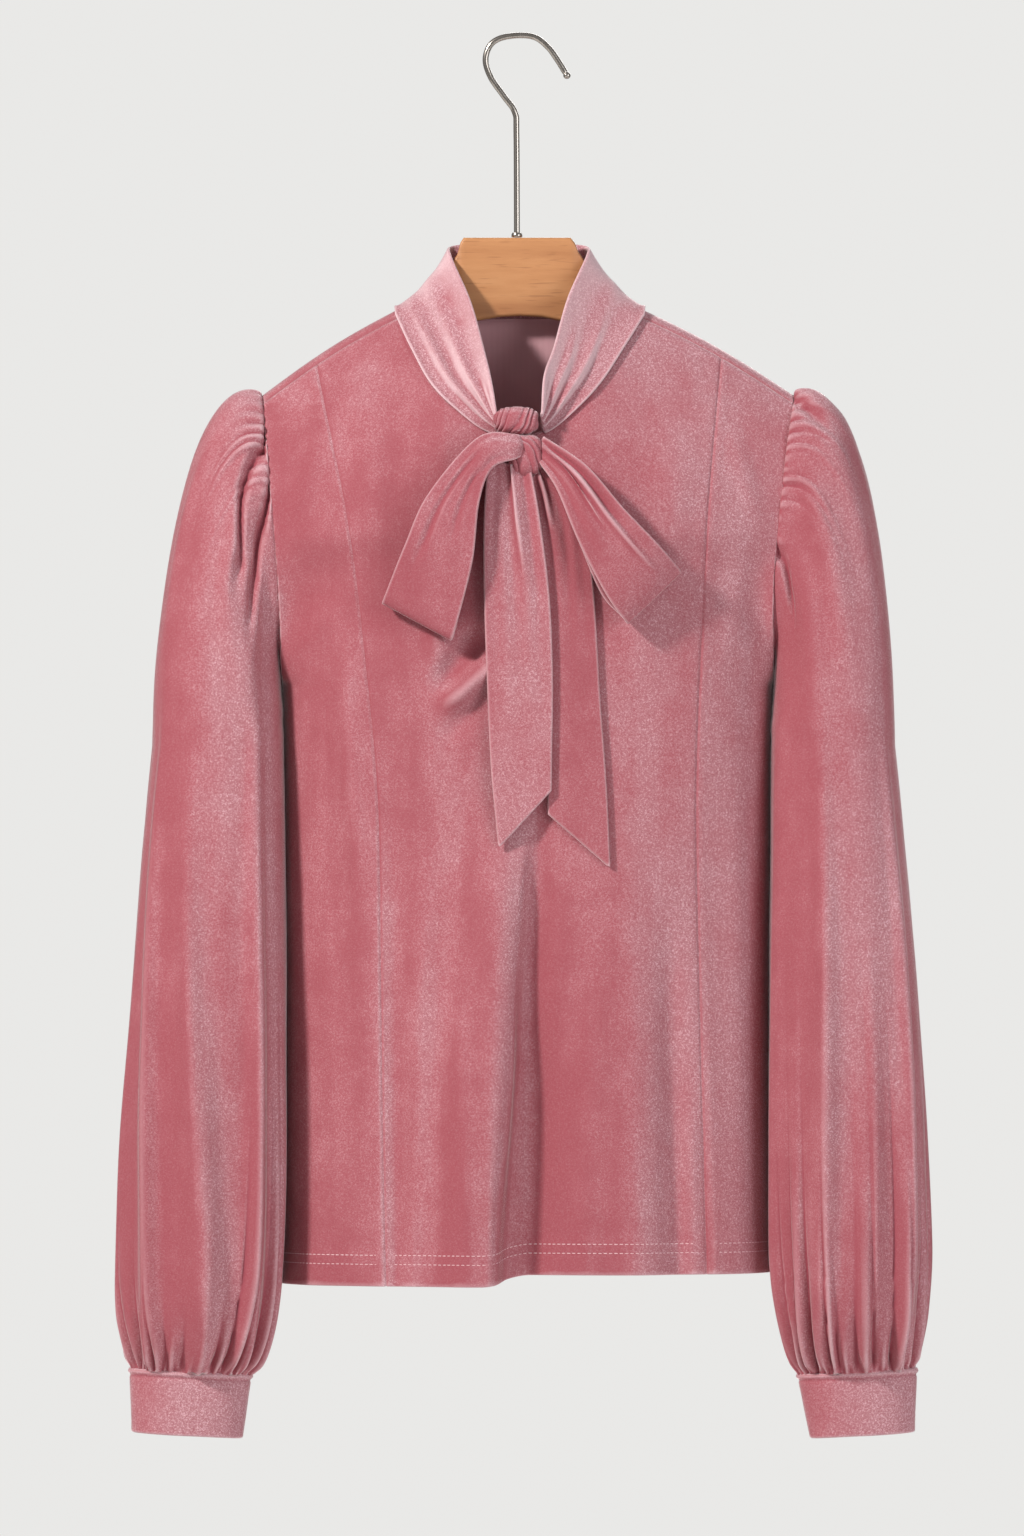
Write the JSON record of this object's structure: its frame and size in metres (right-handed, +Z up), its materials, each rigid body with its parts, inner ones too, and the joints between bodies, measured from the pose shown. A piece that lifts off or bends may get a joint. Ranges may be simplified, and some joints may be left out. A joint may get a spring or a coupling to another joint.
{
  "type": "blouse on a hanger",
  "caption": "Tie-neck pullover blouse with princess seams, puffed gathered sleeves and plain cuffs, hung on a flat wooden hanger with a steel hook.",
  "frame": {"origin": "the point inside the top of the hook's bend where the hanger rests on its peg", "axes": "+Z up, +X to the viewer's right as the front is seen, the front faces -Y"},
  "size_m": [0.5048, 0.1186, 0.8715],
  "materials": {
    "velvet": "short-pile stretch velvet, dusty rose",
    "wood": "clear matt lacquer on light beech",
    "steel": "brushed"
  },
  "bodies": {
    "root": {"front_centre": "velvet", "front_side_left": "velvet", "front_side_right": "velvet", "back": "velvet", "sleeve_left": "velvet", "sleeve_right": "velvet", "cuff_left": "velvet", "cuff_right": "velvet", "collar": "velvet", "knot_upper": "velvet", "knot_lower": "velvet", "bow_loop_left": "velvet", "bow_loop_right": "velvet", "tie_tail_left": "velvet", "tie_tail_right": "velvet", "hanger_wood": "wood", "hanger_hook": "steel", "hanger_ferrule": "steel"}
  },
  "joints": []
}
